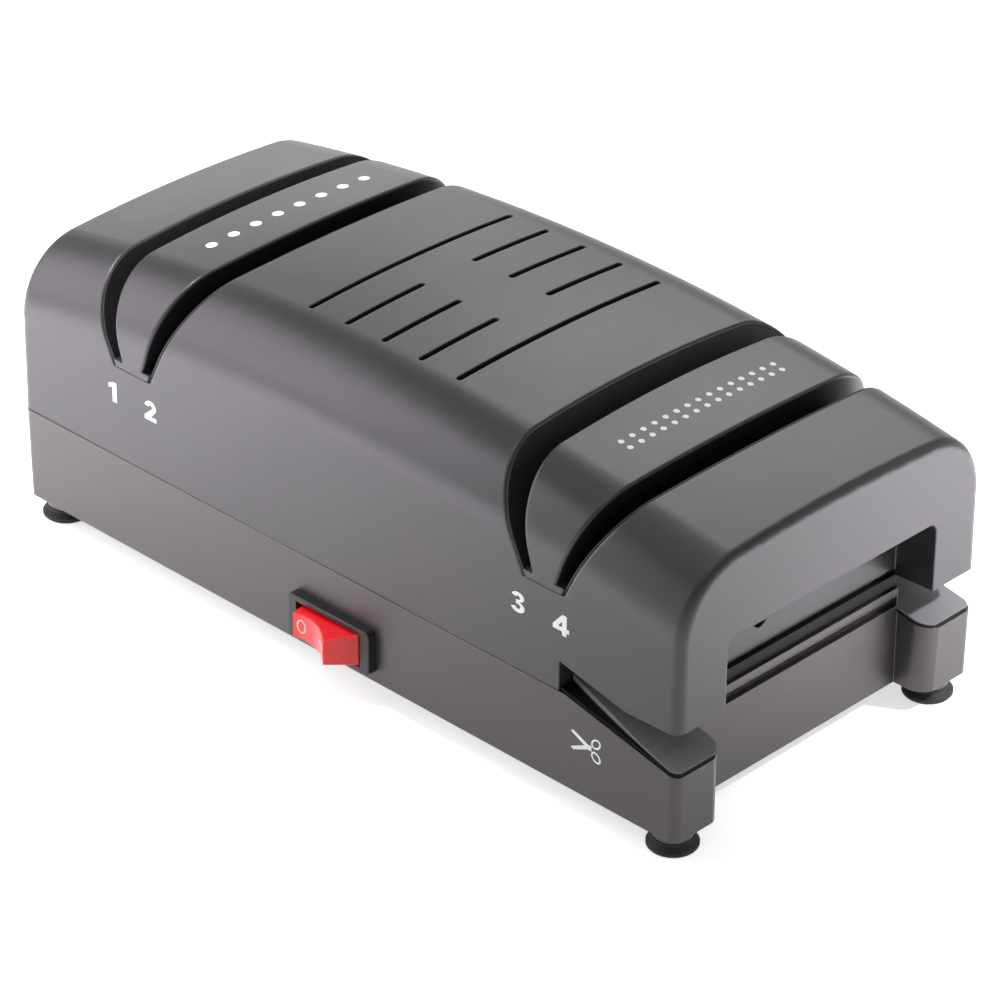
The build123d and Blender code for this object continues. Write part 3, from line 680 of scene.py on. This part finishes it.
class SHARPENER_OT_switch(SharpenerOperator, bpy.types.Operator):
    """Red rocker with its off and on signs, and the brass terminals"""

    bl_idname = "sharpener.switch"
    bl_label = "Dress switch"

    def execute(self, context):
        marks = context.scene.sharpener_marks
        dress(glowing_red("translucent_red", finishes().rocker), "switch_rocker")
        brass = moulded("brass_tab", finishes().brass, roughness=0.3, metallic=1.0, grain=2000.0)
        dress(brass, "switch_terminals")
        off = bmesh.new()
        ring = (marks.off_x, marks.off_z)
        across, up, line = marks.off_across / 2, marks.off_up / 2, marks.off_line
        add_loop(off, ellipse(ring, across, up), ellipse(ring, across - line, up - line))
        on = bmesh.new()
        stops = (marks.on_start, (marks.on_start + marks.on_end) / 2, marks.on_end)
        add_patch(on, [(x, marks.on_low) for x in stops] + [(x, marks.on_high) for x in reversed(stops)])
        pivot = Vector(joints["rocker_tilt"]["pos_m"])
        along = Matrix.Rotation(ROCKER_REST, 3, "Z") @ RIGHT
        pale = ink("pale_ink", finishes().sign)
        lay_mark("sign_off", off, "switch_rocker", pivot, along, UP, ROCKER, pale)
        lay_mark("sign_on", on, "switch_rocker", pivot, along, UP, ROCKER, pale)
        return {"FINISHED"}


class SHARPENER_OT_drive(SharpenerOperator, bpy.types.Operator):
    """Motor, shaft, abrasive wheels, fan, swarf trays and magnets"""

    bl_idname = "sharpener.drive"
    bl_label = "Dress drive"

    def execute(self, context):
        tones = finishes()
        sides = ("left", "right")
        sheets = striped("stacked_laminations", tones.lamination, pitch=0.5 * MM, metallic=0.9,
                         roughness=0.42)
        dress(sheets, "stator_core", "rotor_core")
        turns = striped("wound_copper", tones.copper, pitch=0.8 * MM, metallic=0.85, roughness=0.3,
                        radial=True)
        dress(turns, "stator_windings")
        cast = moulded("cast_aluminium", tones.cast, roughness=0.5, metallic=0.95, grain=1600.0,
                       depth=30 * MICRON)
        dress(cast, *["motor_bracket_" + side for side in sides])
        bronze = moulded("sintered_bronze", tones.bronze, roughness=0.45, metallic=0.9, grain=2400.0,
                         depth=20 * MICRON)
        dress(bronze, *["bush_" + side for side in sides])
        dress(abrasive("coarse_grit", tones.coarse, grit=0.7 * MM), "coarse_wheel")
        dress(abrasive("fine_grit", tones.fine, grit=0.35 * MM), "fine_wheel")
        plastic = moulded("grey_moulding", tones.tray, roughness=0.5, grain=1500.0, depth=20 * MICRON)
        dress(plastic, "cooling_fan", *[name + "_swarf_tray" for name in STATIONS])
        ferrite = moulded("ferrite", tones.magnet, roughness=0.6, metallic=0.3, grain=1800.0,
                          depth=20 * MICRON)
        dress(ferrite, "swarf_magnets")
        turned = moulded("turned_steel", tones.steel, roughness=0.28, metallic=1.0, grain=1900.0,
                         depth=6 * MICRON)
        dress(turned, "motor_shaft", *[name + part for name in STATIONS for part in ("_hub", "_nut")])
        return {"FINISHED"}


class SHARPENER_OT_fasteners(SharpenerOperator, bpy.types.Operator):
    """Zinc-plated screws, tie bolts and pin, and the black screw in the arch, darkened to stand as painted
    shade in its hole
    """

    bl_idname = "sharpener.fasteners"
    bl_label = "Plate fasteners"

    def execute(self, context):
        zinc = moulded("zinc_plate", finishes().steel, roughness=0.32, metallic=1.0, grain=2600.0,
                       depth=8 * MICRON, edge=0.2 * MM)
        # The arch screw's black finish is partly painted shade: it keeps the hole under the arch edge dark
        dark_oxide_and_shade = moulded("black_oxide_and_painted_shade", finishes().black, roughness=0.5, metallic=0.4, grain=2600.0, rub_and_sheen=0.1)
        dress(zinc, *[name for name in cad_nodes if name.endswith(("_screws", "_bolts", "_pin"))])
        dress(dark_oxide_and_shade, "arch_screw")
        return {"FINISHED"}


class SHARPENER_OT_numbers(SharpenerOperator, bpy.types.Operator):
    """White slot numbers on the front of the cover"""

    bl_idname = "sharpener.numbers"
    bl_label = "Print numbers"

    def execute(self, context):
        marks = context.scene.sharpener_marks
        middles = [STATION_X[name] + marks.digit_shift for name in STATIONS]
        places = [middle + side * marks.digit_side for middle in middles for side in (-1, 1)]
        for digit, x in zip("1234", places):
            outline = number_mesh(digit, marks.digit_unit, marks.digit_height)
            origin = Vector((x, cad_box[0].y, marks.digit_low))
            lay_mark("number_" + digit, outline, "top_cover", origin, RIGHT, UP, HOUSING, print_ink())
        return {"FINISHED"}


class SHARPENER_OT_scissors_sign(SharpenerOperator, bpy.types.Operator):
    """Scissors pictogram beside the scissors ramp"""

    bl_idname = "sharpener.scissors_sign"
    bl_label = "Print scissors sign"

    def execute(self, context):
        marks = context.scene.sharpener_marks
        origin = Vector((marks.scissors_x, cad_box[0].y, marks.scissors_z))
        outline = scissors_mesh(marks.scissors)
        lay_mark("scissors_sign", outline, "base_housing", origin, RIGHT, UP, HOUSING, print_ink())
        return {"FINISHED"}


class SHARPENER_OT_grit_dots(SharpenerOperator, bpy.types.Operator):
    """Dots on the wheel covers: few and large for coarse, many and small for fine"""

    bl_idname = "sharpener.grit_dots"
    bl_label = "Print grit dots"

    def execute(self, context):
        marks = context.scene.sharpener_marks
        to_front = Vector((0, -1, 0))
        rows = {"coarse": (marks.coarse_dot, marks.coarse_count, (0.0,)),
                "fine": (marks.fine_dot, marks.fine_count, (-marks.fine_gap / 2, marks.fine_gap / 2))}
        run = marks.dots_high - marks.dots_low
        for name, (dot, count, lines) in rows.items():
            pattern = bmesh.new()
            for line in lines:
                for i in range(count):
                    along = -marks.dots_low - run * i / (count - 1)
                    add_patch(pattern, ellipse((along, line), dot / 2, dot / 2, steps=24))
            origin = Vector((STATION_X[name], 0.0, cad_box[1].z))
            lay_mark(name + "_dots", pattern, name + "_wheel_cover", origin, to_front, RIGHT, HOUSING,
                     print_ink())
        return {"FINISHED"}


class SHARPENER_OT_stage(SharpenerOperator, bpy.types.Operator):
    """Pale floor, lamps, sky and the camera"""

    bl_idname = "sharpener.stage"
    bl_label = "Set stage"

    def execute(self, context):
        stage = context.scene.sharpener_stage
        self.lay_floor(context, stage)
        self.hang_lamps(context, stage)
        self.paint_sky(context)
        self.set_camera(context, stage)
        context.scene.view_settings.view_transform = "Standard"
        return {"FINISHED"}

    def lay_floor(self, context, stage):
        """Matt floor that looks paler to the camera and in reflections than it is lit."""
        bm = bmesh.new()
        bmesh.ops.create_grid(bm, x_segments=8, y_segments=8, size=FLOOR_REACH)
        mesh = bpy.data.meshes.new("floor")
        bm.to_mesh(mesh)
        bm.free()
        floor = bpy.data.objects.new("floor", mesh)
        context.scene.collection.objects.link(floor)
        material, tree, shader = new_material("pale_table", stage.floor)
        shader.inputs["Base Color"].default_value = (*stage.floor, 1.0)
        shader.inputs["Roughness"].default_value = 0.9
        shader.inputs["Emission Color"].default_value = (1.0, 1.0, 1.0, 1.0)
        path = tree.nodes.new("ShaderNodeLightPath")
        seen = maths(tree, "MAXIMUM", path.outputs["Is Camera Ray"], path.outputs["Is Glossy Ray"])
        seen = maths(tree, "MAXIMUM", seen, path.outputs["Is Transmission Ray"])
        wire(tree, maths(tree, "MULTIPLY", seen, stage.floor_glow), shader.inputs["Emission Strength"])
        mesh.materials.append(material)

    def hang_lamps(self, context, stage):
        """Two spots on the floor beside the object, and three softboxes on the object."""
        middle = (cad_box[0] + cad_box[1]) / 2
        self.hang_spot(context, "front_lamp", stage.front, cone=23.0, radius=0.2,
                       place=(-0.32, -0.26, 1.4), target=(-0.3, -0.22, 0.0))
        self.hang_spot(context, "end_lamp", stage.end, cone=17.0, radius=0.1,
                       place=(0.9, 0.55, 1.1), target=(0.27, 0.2, 0.0))
        self.hang_softbox(context, "left_lamp", stage.left, width=0.5,
                          place=(-1.0, 0.75, 0.36), target=middle)
        self.hang_softbox(context, "back_lamp", stage.back, width=0.65,
                          place=(-0.36, 0.7, 0.8), target=middle)
        self.hang_softbox(context, "shoulder_lamp", stage.shoulder, width=0.46,
                          place=(-0.37, -0.28, 0.28), target=(-0.12, -0.05, 0.08))

    def hang_spot(self, context, name, watts, cone, radius, place, target):
        """Spot with a soft rim; its cone is in degrees."""
        lamp = bpy.data.lights.new(name, "SPOT")
        lamp.energy = watts
        lamp.shadow_soft_size = radius
        lamp.spot_size = math.radians(cone)
        lamp.spot_blend = 1.0
        self.aim_lamp(context, lamp, place, target)

    def hang_softbox(self, context, name, watts, width, place, target):
        """Square softbox."""
        lamp = bpy.data.lights.new(name, "AREA")
        lamp.energy = watts
        lamp.size = width
        self.aim_lamp(context, lamp, place, target)

    def aim_lamp(self, context, lamp, place, target):
        """Hangs a lamp at a place and turns it to a target."""
        holder = bpy.data.objects.new(lamp.name, lamp)
        context.scene.collection.objects.link(holder)
        holder.location = place
        holder.rotation_mode = "QUATERNION"
        holder.rotation_quaternion = (Vector(target) - Vector(place)).to_track_quat("-Z", "Y")

    def paint_sky(self, context):
        """Grey bands by height: pale below, dark above the horizon and white overhead."""
        world = bpy.data.worlds.new("studio_sky")
        context.scene.world = world
        world.use_nodes = True
        tree = world.node_tree
        ramp = tree.nodes.new("ShaderNodeValToRGB")
        bands = ramp.color_ramp.elements
        for height, _ in SKY_BANDS[1:-1]:
            bands.new(height)
        for band, (_, grey) in zip(bands, SKY_BANDS):
            band.color = (grey, grey, grey, 1.0)
        axes = split_axes(tree, tree.nodes.new("ShaderNodeTexCoord").outputs["Generated"])
        wire(tree, spread(tree, axes["Z"], -1.0, 1.0, 0.0, 1.0), ramp.inputs["Fac"])
        wire(tree, ramp.outputs["Color"], tree.nodes["Background"].inputs["Color"])

    def set_camera(self, context, stage):
        """Camera at the eye, turned to the view's middle."""
        data = bpy.data.cameras.new("camera")
        data.lens = stage.lens
        data.sensor_width = SENSOR_WIDTH
        data.clip_start = 50.0 * MM
        camera = bpy.data.objects.new("camera", data)
        context.scene.collection.objects.link(camera)
        turn, rise = stage.azimuth, stage.elevation
        back = Vector((math.sin(turn) * math.cos(rise), -math.cos(turn) * math.cos(rise), math.sin(rise)))
        level_right = Vector((math.cos(turn), math.sin(turn), 0.0))
        level_up = back.cross(level_right)
        right = math.cos(stage.roll) * level_right + math.sin(stage.roll) * level_up
        up = math.cos(stage.roll) * level_up - math.sin(stage.roll) * level_right
        back = (back - right * stage.aim_right - up * stage.aim_up).normalized()
        right = (right - back * right.dot(back)).normalized()
        up = back.cross(right)
        camera.matrix_world = Matrix.Translation(stage.eye) @ Matrix((right, up, back)).transposed().to_4x4()
        context.scene.camera = camera


OPERATORS = (SHARPENER_OT_housing, SHARPENER_OT_black_parts, SHARPENER_OT_rubber, SHARPENER_OT_switch,
             SHARPENER_OT_drive, SHARPENER_OT_fasteners, SHARPENER_OT_numbers, SHARPENER_OT_scissors_sign,
             SHARPENER_OT_grit_dots, SHARPENER_OT_stage)


class SHARPENER_PT_panel(bpy.types.Panel):
    """Sidebar list of the sharpener's operators, colours, marks and stage"""

    bl_idname = "SHARPENER_PT_panel"
    bl_label = "Sharpener"
    bl_space_type = "VIEW_3D"
    bl_region_type = "UI"
    bl_category = "Sharpener"

    def draw(self, context):
        scene = context.scene
        for operator in OPERATORS:
            self.layout.operator(operator.bl_idname)
        for group in (scene.sharpener_finishes, scene.sharpener_marks, scene.sharpener_stage):
            box = self.layout.box()
            for name in group.__annotations__:
                box.prop(group, name)


CLASSES = (SharpenerFinishes, SharpenerMarks, SharpenerStage, *OPERATORS, SHARPENER_PT_panel)


def register():
    """Registers the classes and hangs the property groups on the scene."""
    for cls in CLASSES:
        bpy.utils.register_class(cls)
    bpy.types.Scene.sharpener_finishes = PointerProperty(type=SharpenerFinishes)
    bpy.types.Scene.sharpener_marks = PointerProperty(type=SharpenerMarks)
    bpy.types.Scene.sharpener_stage = PointerProperty(type=SharpenerStage)


def unregister():
    """Undoes register."""
    del bpy.types.Scene.sharpener_stage
    del bpy.types.Scene.sharpener_marks
    del bpy.types.Scene.sharpener_finishes
    for cls in reversed(CLASSES):
        bpy.utils.unregister_class(cls)


def main():
    """Builds every piece in order."""
    register()
    for operator in OPERATORS:
        family, action = operator.bl_idname.split(".")
        getattr(getattr(bpy.ops, family), action)()


if __name__ == "__main__":
    main()
